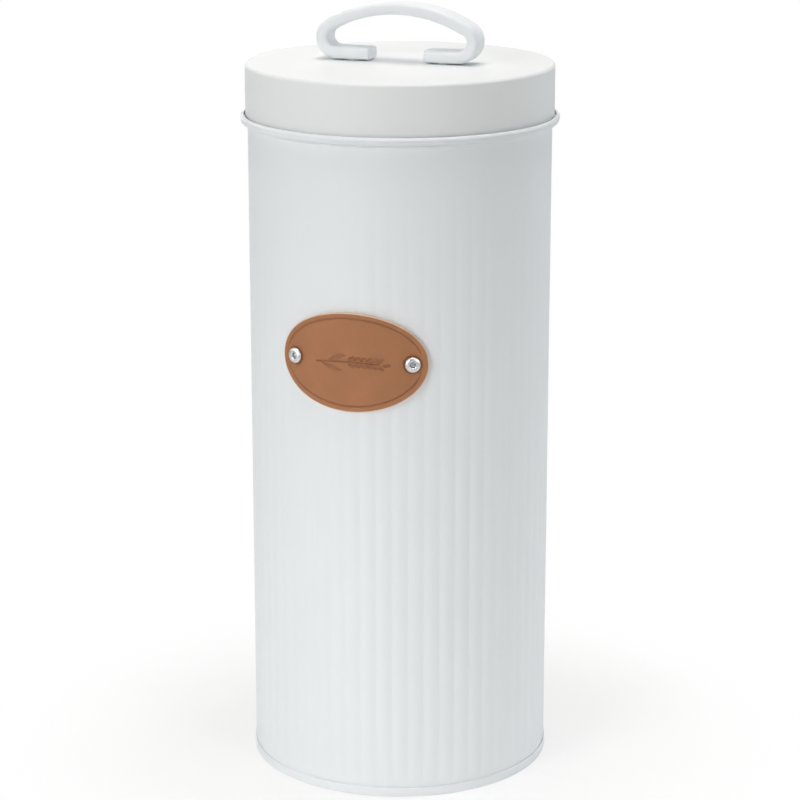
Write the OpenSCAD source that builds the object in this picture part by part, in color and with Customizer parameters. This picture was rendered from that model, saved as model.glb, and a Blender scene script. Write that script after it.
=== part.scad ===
// Tall food canister. A ribbed sheet-steel body stands on a seamed base pan and ends in a
// rolled rim with a neck inside it. A push-on lid slides down over the neck and is lifted by a
// bent flat-bar handle. An oval leather label is held on the front by two blind rivets.
// Millimetres, +Z up. The origin is the centre of the base ring, on the surface that it stands
// on. The label faces -Y and the handle runs along X.

/* [Body] */
// Outer diameter of the body, over its ribs
body_d = 110; // [90:1:140]
// Height of the body, up to the crest of its rolled rim
body_h = 242.7; // [200:0.1:300]
// Thickness of the sheet steel in the body, neck, base and lid
sheet_t = 0.5; // [0.4:0.05:0.7]
// Number of upright ribs round the body
rib_count = 60; // [40:1:72]
// Depth of the grooves between the ribs
rib_depth = 0.3; // [0.2:0.05:0.6]
// Width of the lapped strip of the welded side seam
seam_w = 1.6; // [1:0.1:3]
// How far the seam's lap stands proud of the ribs
seam_proud = 0.12; // [0.05:0.01:0.3]

/* [Rim and neck] */
// How far the rolled rim stands out beyond the body
rim_out = 2.7; // [2.2:0.1:4]
// Height of the rolled rim, from its lower edge to its crest
rim_h = 2.7; // [2:0.1:5]
// Thickness of the folded lip of the rim, over the bead along its top
rim_lip_t = 1.3; // [1:0.1:1.8]
// Radius of the rounded outer edge of that bead
rim_edge_r = 1.1; // [0.6:0.1:1.2]
// How far the lip is set back below its bead
rim_step = 0.3; // [0.1:0.05:0.4]
// Depth of the gutter between the lip and the neck
gutter_depth = 1.3; // [0.8:0.1:1.6]
// Height of the neck above the crest of the rim
neck_h = 16; // [8:0.5:24]
// How far the neck reaches down inside the body
neck_tuck = 3; // [2:0.5:8]
// Radius of the rolled edge at the top of the neck
neck_curl_r = 0.7; // [0.5:0.05:1]
// How far the swage under the rim stands out beyond the body
swage_out = 0.9; // [0.5:0.1:1.2]
// Height of the swage under the rim
swage_h = 0.6; // [0.4:0.1:1.5]

/* [Base] */
// Height of the seamed ring round the bottom of the body
base_ring_h = 3.4; // [3:0.1:8]
// Thickness of the fold of the base ring outside the body
base_fold_t = 0.35; // [0.3:0.05:0.8]
// Thickness of the fold that the body's lower edge stands on
base_foot_t = 0.7; // [0.5:0.1:1.2]
// Height of the base panel above the surface that the canister stands on
base_rise = 2.6; // [1.5:0.1:3.5]
// Diameter of the raised middle of the base panel
base_step_d = 86; // [60:1:88]
// Height of the raised middle above the rest of the base panel
base_step_h = 1; // [0.6:0.1:2]

/* [Lid] */
// Radius of the rounded top edge of the lid
lid_edge_r = 1.2; // [0.8:0.1:2.4]
// Height of the hem folded inside the lower edge of the skirt
lid_hem_h = 3.5; // [2:0.1:6]
// Thickness of the sealing ring under the lid
seal_t = 1.5; // [1:0.1:3]
// Width of the sealing ring under the lid
seal_w = 2.8; // [2:0.1:5]

/* [Handle] */
// Overall width of the handle
handle_w = 61; // [50:1:72]
// Height of the handle's top above the lid
handle_h = 21.5; // [18:0.5:30]
// Thickness of the flat bar
bar_t = 4.4; // [3.5:0.1:5]
// Depth of the flat bar, from front to back
bar_d = 10; // [8:0.5:14]
// Radius of the bar's rounded edges
bar_edge_r = 1.5; // [0.8:0.1:1.8]
// Outer radius of the bends at the ends of the handle
bend_r = 7.5; // [6.5:0.1:8.5]
// Gap between the ends of the two feet
foot_gap = 20.6; // [14:0.2:24]

/* [Fixings] */
// Distance between the two handle screws
screw_pitch = 34; // [30:0.5:38]
// Diameter of the handle screws
screw_d = 3; // [2.5:0.5:4]
// Length of screw thread inside each foot
screw_grip = 3.2; // [2.5:0.1:3.2]
// Diameter of the screw heads
screw_head_d = 5.6; // [5.2:0.1:7]
// Height of the screw heads
screw_head_h = 2; // [1.5:0.1:2.5]
// Diameter of the washers under the lid
washer_d = 9; // [7.5:0.5:12]
// Thickness of the washers under the lid
washer_t = 0.8; // [0.5:0.1:1.2]
// Diameter of the spacers under the feet
spacer_d = 6.4; // [5.6:0.1:8]
// Thickness of the spacers under the feet
spacer_t = 0.5; // [0.4:0.1:1]

/* [Label] */
// Width of the leather label, measured round the body
label_w = 56; // [50:1:64]
// Height of the leather label
label_h = 35.6; // [28:0.2:44]
// Thickness of the leather
label_t = 1.7; // [1:0.1:2.5]
// Height of the label's centre
label_z = 163; // [60:1:170]
// Distance from each end of the label to the middle of its rivet
rivet_inset = 5.7; // [4.6:0.1:8]
// Diameter of the rivet shanks
rivet_d = 3.2; // [2.8:0.1:3.6]
// Diameter of the rivet heads
rivet_head_d = 5.6; // [5:0.1:6.4]
// Height of the rivet heads
rivet_head_h = 1.1; // [0.8:0.1:1.4]
// Diameter of the bulb that the rivet forms inside the body
rivet_bulb_d = 4.6; // [4.2:0.1:5.4]
// Length of the bulb inside the body
rivet_bulb_h = 2.4; // [2:0.1:3]
// Diameter of the mandrel left in the rivet
mandrel_d = 1.8; // [1.4:0.1:2]
// Diameter of the mandrel's head
mandrel_head_d = 3; // [2.6:0.1:3.6]
// Height of the mandrel's head
mandrel_head_h = 1.3; // [1:0.1:2]
// Depth from the top of the rivet head to the broken end of the mandrel
mandrel_recess = 0.5; // [0.4:0.1:0.9]

/* [Clearances] */
// Gap between pieces that are pushed or seamed together
fit_gap = 0.05; // [0.03:0.01:0.1]
// Gap all round between the neck and the hem of the lid
lid_clear = 0.35; // [0.3:0.05:0.6]
// Gap between the floor of the gutter and the lower edge of the skirt
skirt_gap = 0.8; // [0.4:0.1:1.2]
// Gap between the neck and the sealing ring with the lid on
rest_gap = 0.3; // [0.3:0.05:0.6]
// Gap all round between a screw or rivet and the hole that it passes through
hole_clear = 0.2; // [0.1:0.05:0.4]

/* [Hidden] */
LEFT = -1;
RIGHT = 1;
$fn = 96;

// Colours
COATING = "#ECEEED";
COATING_COOL = "#E4E9EC";
LEATHER = "#A9744E";
STEEL = "#BFC2C4";
SILICONE = "#DADCD8";

// Body wall
wall_r = body_d / 2;
wall_in_r = wall_r - sheet_t;
groove_in_r = wall_in_r - rib_depth;
rib_pitch = 360 / rib_count;
rib_steps = 6; // straight facets to a rib
rib_lip = 0.03; // the ribs stay this far inside the plain bands
rib_margin = 1; // plain wall left between the ribs and the pieces at each end
cut_over = 1; // how far a hole's cutter runs past what it cuts

// Levels of the rim and neck, down from the crest
gutter_z = body_h - gutter_depth;
wall_top_z = gutter_z - sheet_t;
neck_foot_z = wall_top_z - neck_tuck;
swage_top_z = body_h - rim_h - 2 * fit_gap;
rib_top_z = min(neck_foot_z, swage_top_z - swage_h) - rib_margin;
rib_foot_z = base_ring_h + rib_margin;
neck_r = wall_in_r - fit_gap;
neck_top_z = body_h + neck_h;
rim_r = wall_r + rim_out;

// Base pan
chuck_r = neck_r; // the pan's upright wall fills the body as the neck does
ring_r = wall_r + fit_gap + base_fold_t;

// Lid, built up from the neck that it rests on
skirt_r = neck_r + lid_clear + 2 * sheet_t;
skirt_foot_z = gutter_z + skirt_gap;
seal_foot_z = neck_top_z + rest_gap;
lid_under_z = seal_foot_z + seal_t;
lid_top_z = lid_under_z + sheet_t;

// Handle: two bends of one radius joined by a long flat arc that meets them smoothly
foot_z = lid_top_z + spacer_t;
bend_x = handle_w / 2 - bend_r;
bend_z = foot_z + bend_r;
rise = lid_top_z + handle_h - bend_z - bend_r;
join_a = 90 - 2 * atan(rise / bend_x);
arc_r = bend_r + bend_x / cos(join_a);
arc_z = lid_top_z + handle_h - arc_r;
bend_steps = 12;
arc_steps = 10;
arc_turn = (180 - 2 * join_a) / (arc_steps + 2); // from each bend to the first ring of the arc
corner_steps = 2;
bar_bevel = 0.6; // bevel round the ends of the feet
screw_head_z = lid_under_z - washer_t - screw_head_h;

// Label and rivets, as distances from the body's axis
label_in_r = wall_r + fit_gap;
label_out_r = label_in_r + label_t;
rivet_a = (label_w / 2 - rivet_inset) / label_out_r * 180 / PI;
bulb_r = groove_in_r - 2 * fit_gap;
label_steps = 72;

// A rectangle of a turned profile, between two radii and two heights
module band(r0, r1, z0, z1) {
  translate([r0, z0]) square([r1 - r0, z1 - z0]);
}

module turned() {
  rotate_extrude() children();
}

module tube(r0, r1, z0, z1) {
  turned() band(r0, r1, z0, z1);
}

// ---- Body ----

function is_seam(a) = abs(a - 180) < rib_pitch;
// Round-backed ribs that meet in sharp grooves
function groove(a) = is_seam(a) ? 0 : rib_depth * (1 - abs(cos(a * rib_count / 2)));
function ribbed(r) = [
  for (i = [0 : rib_count * rib_steps - 1])
    let (a = i * rib_pitch / rib_steps)
      (r - groove(a)) * [sin(a), -cos(a)]
];

module ribbed_wall() {
  translate([0, 0, rib_foot_z]) linear_extrude(rib_top_z - rib_foot_z) difference() {
    polygon(ribbed(wall_r - rib_lip));
    polygon(ribbed(wall_in_r - rib_lip));
  }
}

module side_seam() {
  height = rib_top_z - rib_foot_z;
  intersection() {
    tube(groove_in_r - rib_lip, wall_r + seam_proud, rib_foot_z, rib_top_z);
    translate([-seam_w / 2, 0, rib_foot_z]) cube([seam_w, body_d, height]);
  }
}

// Turned bands that close the ends of the ribs, with the swage that the rim sits on
module plain_bands() {
  turned() {
    band(wall_in_r, wall_r, base_foot_t, rib_foot_z + sheet_t);
    band(groove_in_r - rib_lip, wall_r, rib_foot_z, rib_foot_z + sheet_t);
    band(groove_in_r - rib_lip, wall_r, rib_top_z - sheet_t, rib_top_z);
    band(wall_in_r, wall_r, rib_top_z - sheet_t, wall_top_z);
    band(wall_in_r, wall_r + swage_out, swage_top_z - swage_h, swage_top_z);
  }
}

module body_wall() {
  color(COATING) difference() {
    union() {
      ribbed_wall();
      side_seam();
      plain_bands();
    }
    for (side = [LEFT, RIGHT]) rivet_hole(side);
  }
}

// A neck tube with a rolled top edge, turned out at its foot into a gutter over the body's
// edge and folded up into the lip of the rim
module neck_collar() {
  fold_t = rim_lip_t - rim_step;
  fold_in_r = rim_r - rim_lip_t;
  rim_foot_z = body_h - rim_h;
  edge_z = body_h - rim_edge_r;
  color(COATING) turned() {
    band(neck_r - sheet_t, neck_r, neck_foot_z, neck_top_z - neck_curl_r);
    translate([neck_r - neck_curl_r, neck_top_z - neck_curl_r]) circle(neck_curl_r, $fn = 32);
    band(neck_r - sheet_t, fold_in_r + fold_t / 2, gutter_z - sheet_t, gutter_z);
    band(fold_in_r, fold_in_r + fold_t, rim_foot_z + fold_t / 2, edge_z);
    intersection() {
      translate([rim_r - rim_edge_r, edge_z]) circle(rim_edge_r, $fn = 48);
      band(fold_in_r, rim_r, edge_z - rim_step, body_h);
    }
    translate([fold_in_r, rim_foot_z] + [fold_t, fold_t] / 2) circle(fold_t / 2, $fn = 32);
  }
}

// A pressed pan whose edge is folded round the body's lower edge
module base_pan() {
  step_r = base_step_d / 2;
  panel_z = base_rise + sheet_t;
  nose_r = base_foot_t / 2;
  color(COATING) turned() {
    band(ring_r - base_fold_t, ring_r, nose_r, base_ring_h);
    band(chuck_r - sheet_t, ring_r - nose_r, 0, base_foot_t);
    translate([ring_r - nose_r, nose_r]) circle(nose_r, $fn = 32);
    band(chuck_r - sheet_t, chuck_r, 0, panel_z);
    band(step_r - sheet_t, chuck_r, base_rise, panel_z);
    band(step_r - sheet_t, step_r, base_rise, panel_z + base_step_h);
    band(0, step_r, base_rise + base_step_h, panel_z + base_step_h);
  }
}

// ---- Label and rivets ----

// An oval seen from the front, so that it measures label_w when it is bent round the body
function label_outline() = [
  for (i = [0 : label_steps - 1])
    let (t = i * 360 / label_steps, round_a = cos(t) * label_w / 2 / label_out_r * 180 / PI)
      [label_out_r * sin(round_a), sin(t) * label_h / 2]
];

// Stands children on the body's axis at the height of the label, with +Z out through a rivet
module rivet_axis(side) {
  translate([0, 0, label_z]) rotate([90, 0, side * rivet_a]) children();
}

module rivet_hole(side) {
  rivet_axis(side) cylinder(h = rim_r, r = rivet_d / 2 + hole_clear, $fn = 32);
}

module label() {
  color(LEATHER) difference() {
    intersection() {
      tube(label_in_r, label_out_r, label_z - label_h, label_z + label_h);
      translate([0, 0, label_z]) rotate([90, 0, 0]) linear_extrude(rim_r + label_t)
        polygon(label_outline());
    }
    for (side = [LEFT, RIGHT]) rivet_hole(side);
  }
}

// A domed head outside, a shank through leather and wall, and a bulb inside
module rivet(side) {
  head_r = rivet_head_d / 2;
  dome_r = (head_r * head_r + rivet_head_h * rivet_head_h) / (2 * rivet_head_h);
  color(STEEL) rivet_axis(side) difference() {
    union() {
      intersection() {
        translate([0, 0, label_out_r + rivet_head_h - dome_r]) sphere(dome_r);
        translate([0, 0, label_out_r]) cylinder(h = rivet_head_h, r = head_r, $fn = 48);
      }
      translate([0, 0, bulb_r - rivet_bulb_h])
        cylinder(h = label_out_r - bulb_r + rivet_bulb_h, r = rivet_d / 2, $fn = 32);
      translate([0, 0, bulb_r - rivet_bulb_h])
        cylinder(h = rivet_bulb_h, r1 = rivet_d / 2, r2 = rivet_bulb_d / 2, $fn = 32);
    }
    cylinder(h = rim_r + label_t, r = mandrel_d / 2 + fit_gap, $fn = 32);
  }
}

// The pulled mandrel: its head under the bulb and its stem snapped off inside the rivet head
module mandrel(side) {
  stem_foot = bulb_r - rivet_bulb_h - mandrel_head_h;
  stem_top = label_out_r + rivet_head_h - mandrel_recess;
  color(STEEL) rivet_axis(side) translate([0, 0, stem_foot]) {
    cylinder(h = mandrel_head_h, r = mandrel_head_d / 2, $fn = 32);
    cylinder(h = stem_top - stem_foot, r = mandrel_d / 2, $fn = 32);
  }
}

// ---- Lid ----

// Section of a round plate with a rounded top edge, filled down to a level
module plate_section(r, corner_r, top_z, foot_z) {
  band(0, r, foot_z, top_z - corner_r);
  band(0, r - corner_r, foot_z, top_z);
  translate([r - corner_r, top_z - corner_r]) circle(corner_r, $fn = 48);
}

module lid_shell() {
  skirt_in_r = skirt_r - sheet_t;
  color(COATING) difference() {
    turned() {
      difference() {
        plate_section(skirt_r, lid_edge_r, lid_top_z, skirt_foot_z);
        plate_section(skirt_in_r, lid_edge_r - sheet_t, lid_under_z, skirt_foot_z - sheet_t);
      }
      band(skirt_in_r - sheet_t, skirt_r, skirt_foot_z, skirt_foot_z + lid_hem_h);
    }
    for (side = [LEFT, RIGHT]) screw_hole(side);
  }
}

module lid_seal() {
  seal_r = skirt_r - lid_edge_r - fit_gap;
  color(SILICONE) tube(seal_r - seal_w, seal_r, seal_foot_z, lid_under_z);
}

// ---- Handle and its fixings ----

// A ring is a place on the bar's middle line: its x and z, the way that the bar's outer face
// looks there, as an angle up from +X, and how far the section is drawn in
function bend_rings(x, z, r, a0, a1, steps) = [
  for (i = [0 : steps])
    let (a = a0 + (a1 - a0) * i / steps)
      [x + (r - bar_t / 2) * cos(a), z + (r - bar_t / 2) * sin(a), a, 0]
];

function foot_rings(side, a) =
  let (x = side * foot_gap / 2, z = foot_z + bar_t / 2)
    [[x, z, a, bar_bevel], [x + side * bar_bevel, z, a, 0]];

handle_rings = concat(
  foot_rings(RIGHT, -90),
  bend_rings(bend_x, bend_z, bend_r, -90, join_a, bend_steps),
  bend_rings(0, arc_z, arc_r, join_a + arc_turn, 180 - join_a - arc_turn, arc_steps),
  bend_rings(-bend_x, bend_z, bend_r, 180 - join_a, 270, bend_steps),
  [for (i = [1, 0]) foot_rings(LEFT, 270)[i]]
);

// Section of the bar at a ring: a rectangle with rounded corners
function bar_section(ring) = [
  for (corner = [0 : 3], i = [0 : corner_steps])
    let (
      a = corner * 90 + i * 90 / corner_steps,
      round_r = bar_edge_r - ring[3],
      right = corner == 0 || corner == 3 ? 1 : -1,
      back = corner < 2 ? 1 : -1,
      u = right * (bar_t / 2 - bar_edge_r) + round_r * cos(a),
      y = back * (bar_d / 2 - bar_edge_r) + round_r * sin(a)
    )
      [ring[0] + u * cos(ring[2]), y, ring[1] + u * sin(ring[2])]
];

module bar() {
  n = 4 * (corner_steps + 1);
  last = len(handle_rings) - 1;
  polyhedron(
    points = [for (ring = handle_rings) each bar_section(ring)],
    faces = concat(
      [[for (i = [0 : n - 1]) i]],
      [for (k = [0 : last - 1], i = [0 : n - 1])
        let (j = (i + 1) % n) [k * n + i, (k + 1) * n + i, (k + 1) * n + j, k * n + j]],
      [[for (i = [n - 1 : -1 : 0]) last * n + i]]
    )
  );
}

module handle() {
  color(COATING_COOL) difference() {
    bar();
    for (side = [LEFT, RIGHT])
      at_screw(side, foot_z - cut_over)
        cylinder(h = cut_over + screw_grip + hole_clear, r = screw_d / 2 + fit_gap, $fn = 32);
  }
}

module at_screw(side, z) {
  translate([side * screw_pitch / 2, 0, z]) children();
}

module screw_hole(side) {
  at_screw(side, lid_under_z - cut_over)
    cylinder(h = sheet_t + 2 * cut_over, r = screw_d / 2 + hole_clear, $fn = 32);
}

// A flat ring round a screw
module screw_ring(side, z, d, t) {
  at_screw(side, z) difference() {
    cylinder(h = t, r = d / 2, $fn = 48);
    translate([0, 0, -cut_over])
      cylinder(h = t + 2 * cut_over, r = screw_d / 2 + hole_clear, $fn = 32);
  }
}

module spacer(side) {
  color(COATING) screw_ring(side, lid_top_z, spacer_d, spacer_t);
}

module washer(side) {
  color(STEEL) screw_ring(side, lid_under_z - washer_t, washer_d, washer_t);
}

// A pan-head screw from below, with a cross recess
module screw(side) {
  slot_w = screw_head_d / 7;
  slot_l = screw_head_d * 0.6;
  slot_depth = screw_head_h / 2;
  nose = screw_head_h / 4;
  color(STEEL) at_screw(side, screw_head_z) difference() {
    union() {
      cylinder(h = nose, r1 = screw_head_d / 2 - nose, r2 = screw_head_d / 2, $fn = 48);
      translate([0, 0, nose]) cylinder(h = screw_head_h - nose, r = screw_head_d / 2, $fn = 48);
      cylinder(h = foot_z + screw_grip - screw_head_z, r = screw_d / 2, $fn = 32);
    }
    for (turn = [0, 90])
      rotate(turn) cube([slot_l, slot_w, 2 * slot_depth], center = true);
  }
}

body_wall();
neck_collar();
base_pan();
label();
rivet(LEFT);  // label_rivet_left
rivet(RIGHT);  // label_rivet_right
mandrel(LEFT);  // rivet_mandrel_left
mandrel(RIGHT);  // rivet_mandrel_right
lid_shell();
lid_seal();
handle();
spacer(LEFT);  // handle_spacer_left
spacer(RIGHT);  // handle_spacer_right
washer(LEFT);  // handle_washer_left
washer(RIGHT);  // handle_washer_right
screw(LEFT);  // handle_screw_left
screw(RIGHT);  // handle_screw_right
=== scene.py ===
"""Food canister: the visual pieces, their materials and a plain studio, as one add-on."""
from math import acos, atan, atan2, cos, degrees, exp, hypot, pi, radians, sin, sqrt, tan
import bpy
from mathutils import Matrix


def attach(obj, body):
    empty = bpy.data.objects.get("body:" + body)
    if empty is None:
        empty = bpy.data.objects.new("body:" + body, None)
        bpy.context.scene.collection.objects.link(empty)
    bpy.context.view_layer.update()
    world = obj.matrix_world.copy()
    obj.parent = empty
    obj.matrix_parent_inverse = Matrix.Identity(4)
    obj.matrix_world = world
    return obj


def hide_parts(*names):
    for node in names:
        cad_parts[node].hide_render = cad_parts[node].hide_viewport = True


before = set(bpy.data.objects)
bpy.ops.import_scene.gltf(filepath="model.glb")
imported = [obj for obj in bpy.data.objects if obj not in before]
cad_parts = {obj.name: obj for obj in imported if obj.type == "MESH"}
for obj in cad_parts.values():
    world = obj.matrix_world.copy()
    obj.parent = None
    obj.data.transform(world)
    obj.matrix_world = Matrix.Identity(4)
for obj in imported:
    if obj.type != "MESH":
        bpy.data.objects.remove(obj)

from types import SimpleNamespace

import bmesh
import bpy
from bpy.props import FloatProperty, IntProperty, PointerProperty, StringProperty
from mathutils import Matrix, Vector

bl_info = {
    "name": "Food Canister",
    "version": (1, 0, 0),
    "blender": (4, 5, 0),
    "location": "View3D > Sidebar > Canister",
    "description": "Builds a tall ribbed food canister with a lid, a handle and a leather label",
    "category": "Object",
}

MM = 0.001
LEFT, RIGHT = -1, 1
# Material slots of the label. The pressed slot is partly painted shade, in the pressed grooves and in a
# ring round each rivet head
GRAIN, PRESSED_AND_SHADE, CUT = 0, 1, 2


# ---- Sizes and colours ----


def length(name, description, default_mm):
    return FloatProperty(
        name=name, description=description, default=default_mm * MM, min=0.0, unit="LENGTH", precision=5
    )


def colour(name, description, default):
    """An sRGB colour written as #RRGGBB."""
    return StringProperty(name=name, description=description, default=default, maxlen=7)


def power(name, description, default):
    return FloatProperty(name=name, description=description, default=default, min=0.0, unit="POWER")


class CanisterSettings(bpy.types.PropertyGroup):
    """Sizes and colours of the canister and the light on it."""

    body_d: length("Body diameter", "Outer diameter of the body, over its ribs", 110)
    body_h: length("Body height", "Up to the crest of the rolled rim", 242.7)
    sheet_t: length("Sheet", "Thickness of the sheet steel", 0.5)
    rib_count: IntProperty(name="Ribs", description="Upright ribs round the body", default=60, min=12)
    rib_depth: length("Rib depth", "Depth of the grooves between the ribs", 0.3)
    rib_valley: FloatProperty(
        name="Groove rounding", description="How soft the bottom of a groove is", default=0.07, min=0.0
    )
    rib_margin: length("Rib margin", "Plain wall above and below the ribs", 1)
    seam_w: length("Seam width", "Width of the lapped strip of the side seam", 1.6)
    seam_proud: length("Seam height", "How far the seam's lap stands proud", 0.12)

    rim_out: length("Rim overhang", "How far the rolled rim stands out beyond the body", 2.7)
    rim_h: length("Rim height", "From its lower edge to its crest", 2.7)
    rim_lip_t: length("Rim lip", "Thickness of the folded lip over its bead", 1.3)
    rim_edge_r: length("Rim edge", "Radius of the rounded outer edge of the lip", 1.1)
    rim_step: length("Rim step", "How far the lip is set back below its bead", 0.3)
    gutter_depth: length("Gutter depth", "Between the lip and the neck", 1.3)
    neck_h: length("Neck height", "Above the crest of the rim", 16)
    neck_tuck: length("Neck tuck", "How far the neck reaches down inside the body", 3)
    neck_curl_r: length("Neck curl", "Radius of the rolled edge of the neck", 0.7)
    swage_out: length("Swage", "How far the swage under the rim stands out", 0.9)
    swage_h: length("Swage height", "Height of the swage", 0.6)

    base_ring_h: length("Base ring", "Height of the seamed ring", 3.4)
    seam_nip: length("Seam nip", "How far the wall is drawn in over the base ring", 0.1)
    base_fold_t: length("Base fold", "Thickness of the fold outside the body", 0.35)
    base_foot_t: length("Base foot", "Thickness of the fold under the body", 0.7)
    base_rise: length("Base rise", "Height of the base panel", 2.6)
    base_step_d: length("Base step", "Diameter of the raised middle", 86)
    base_step_h: length("Base step height", "Height of the raised middle", 1)

    lid_edge_r: length("Lid edge", "Radius of the rounded top edge", 1.2)
    lid_hem_h: length("Lid hem", "Height of the hem inside the skirt", 3.5)
    seal_t: length("Seal thickness", "Thickness of the sealing ring", 1.5)
    seal_w: length("Seal width", "Width of the sealing ring", 2.8)

    handle_w: length("Handle width", "Overall width", 61)
    handle_h: length("Handle height", "Top of the handle above the lid", 21.5)
    bar_t: length("Bar thickness", "Thickness of the flat bar", 4.4)
    bar_d: length("Bar depth", "From front to back", 10)
    bar_edge_r: length("Bar edge", "Radius of the bar's rounded edges", 1.5)
    bar_end_r: length("Bar end", "Radius round the ends of the feet", 0.6)
    bend_r: length("Bend", "Outer radius of the bends", 7.5)
    foot_gap: length("Foot gap", "Between the ends of the two feet", 20.6)

    screw_pitch: length("Screw pitch", "Between the two handle screws", 34)
    screw_d: length("Screw", "Diameter of the handle screws", 3)
    screw_grip: length("Screw grip", "Thread inside each foot", 3.2)
    screw_head_d: length("Screw head", "Diameter of the heads", 5.6)
    screw_head_h: length("Screw head height", "Height of the heads", 2)
    washer_d: length("Washer", "Diameter of the washers", 9)
    washer_t: length("Washer thickness", "Thickness of the washers", 0.8)
    spacer_d: length("Spacer", "Diameter of the spacers", 6.4)
    spacer_t: length("Spacer thickness", "Thickness of the spacers", 0.5)

    label_w: length("Label width", "Measured round the body", 56)
    label_h: length("Label height", "Height of the label", 35.6)
    label_t: length("Leather", "Thickness of the leather", 1.7)
    label_z: length("Label level", "Height of the label's centre", 163)
    border_inset: length("Border inset", "From the label's edge to its pressed line", 2.0)
    border_w: length("Border line", "Width of the pressed line", 0.6)
    press_depth: length("Pressing", "Depth of the pressed line and sprig", 0.4)
    rivet_inset: length("Rivet inset", "From the label's end to the middle of a rivet", 5.7)
    rivet_d: length("Rivet", "Diameter of the shanks", 3.2)
    rivet_head_d: length("Rivet head", "Diameter of the heads", 5.6)
    rivet_head_h: length("Rivet head height", "Height of the heads", 1.1)
    rivet_bulb_d: length("Rivet bulb", "Diameter of the bulb inside the body", 4.6)
    rivet_bulb_h: length("Rivet bulb length", "Length of the bulb", 2.4)
    mandrel_d: length("Mandrel", "Diameter of the mandrel", 1.8)
    mandrel_head_d: length("Mandrel head", "Diameter of the mandrel's head", 3)
    mandrel_head_h: length("Mandrel head height", "Height of the mandrel's head", 1.3)
    mandrel_recess: length("Mandrel recess", "From the top of the rivet to the broken end", 0.5)

    fit_gap: length("Fit", "Gap between pieces pushed or seamed together", 0.05)
    lid_clear: length("Lid clearance", "Gap between the neck and the hem of the lid", 0.35)
    skirt_gap: length("Skirt gap", "Between the gutter and the lower edge of the skirt", 0.8)
    rest_gap: length("Rest gap", "Gap between the neck and the sealing ring", 0.3)
    hole_clear: length("Hole clearance", "Gap between a screw and its hole", 0.2)

    body_coat: colour("Body coat", "White powder coat on the body", "#E9EDEF")
    lid_coat: colour("Lid coat", "White powder coat on the lid", "#EAEDED")
    # Painted light: the handle's white is drawn lighter than the body's to stand in for light falling on it
    handle_coat_painted_lighter: colour("Handle coat", "White powder coat on the handle", "#EEF2F4")
    leather: colour("Leather", "Tanned and waxed grain side", "#A9714B")
    leather_dark: colour("Leather, dark", "Darker patches of the grain side", "#9B6944")
    # Partly the burnished pressing, partly painted shade: the pressed grooves and a ring round each rivet
    # head take this darker colour
    leather_pressed_and_shade: colour("Leather, pressed", "Burnished bottom of the pressing", "#8F5C3B")
    leather_edge: colour("Leather, cut edge", "Undyed fibres at the cut edge", "#E6C9AE")
    aluminium: colour("Aluminium", "Rivet heads", "#E0E2E4")
    zinc: colour("Zinc", "Plated screws, washers and mandrels", "#B4B7BC")
    silicone: colour("Silicone", "Sealing ring", "#DADCD8")
    coat_roughness: FloatProperty(
        name="Coat roughness", description="Powder coat on body and lid", default=0.55, min=0.0, max=1.0
    )
    handle_roughness: FloatProperty(
        name="Handle roughness", description="Powder coat on the handle", default=0.5, min=0.0, max=1.0
    )
    floor_white: colour("Floor", "Studio floor", "#F4F4F3")

    key: power("Key light", "Large soft light from the front left, nearly level", 6.3)
    fill: power("Fill light", "Large soft light from the front right, nearly level", 1.25)
    left_low: power("Low left light", "Narrower light from the left, aimed at the foot", 0.35)
    key_low: power("Low key light", "Narrower light from the front left, aimed at the foot", 0.9)
    fill_low: power("Low fill light", "Narrower light from the right in front, aimed at the foot", 0.6)
    right_low: power("Low right light", "Narrower light from the right, aimed at the foot", 0.35)
    rim: power("Rim light", "Soft light from behind on the right", 4.9)
    back: power("Back light", "Soft light from behind, nearly level", 3.8)
    front: power("Front top light", "Soft light from above in front", 3.8)
    top: power("Top light", "Soft light from above", 19.4)
    ambient: FloatProperty(name="Ambient", description="Light from all round", default=0.02, min=0.0)


def derive(s):
    """Levels and radii that follow from the sizes, in metres."""
    d = SimpleNamespace()
    d.wall_r = s.body_d / 2
    d.wall_in_r = d.wall_r - s.sheet_t
    d.rib_pitch = 2 * pi / s.rib_count
    d.gutter_z = s.body_h - s.gutter_depth
    d.wall_top_z = d.gutter_z - s.sheet_t
    d.neck_foot_z = d.wall_top_z - s.neck_tuck
    d.swage_top_z = s.body_h - s.rim_h - 2 * s.fit_gap
    d.rib_top_z = min(d.neck_foot_z, d.swage_top_z - s.swage_h) - s.rib_margin
    d.rib_foot_z = s.base_ring_h + s.rib_margin
    d.neck_r = d.wall_in_r - s.fit_gap
    d.neck_top_z = s.body_h + s.neck_h
    d.rim_r = d.wall_r + s.rim_out
    d.ring_r = d.wall_r + s.fit_gap + s.base_fold_t

    d.skirt_r = d.neck_r + s.lid_clear + 2 * s.sheet_t
    d.skirt_foot_z = d.gutter_z + s.skirt_gap
    d.seal_foot_z = d.neck_top_z + s.rest_gap
    d.lid_under_z = d.seal_foot_z + s.seal_t
    d.lid_top_z = d.lid_under_z + s.sheet_t
    d.edge_r = d.skirt_r - s.lid_edge_r
    d.edge_z = d.lid_top_z - s.lid_edge_r

    d.foot_z = d.lid_top_z + s.spacer_t
    d.bend_x = s.handle_w / 2 - s.bend_r
    d.bend_z = d.foot_z + s.bend_r
    rise = d.lid_top_z + s.handle_h - d.bend_z - s.bend_r
    d.join_a = pi / 2 - 2 * atan(rise / d.bend_x)
    d.arc_r = s.bend_r + d.bend_x / cos(d.join_a)
    d.arc_z = d.lid_top_z + s.handle_h - d.arc_r

    d.label_in_r = d.wall_r + s.fit_gap
    d.label_out_r = d.label_in_r + s.label_t
    d.rivet_u = s.label_w / 2 - s.rivet_inset
    return d


# ---- Mesh helpers ----


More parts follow.
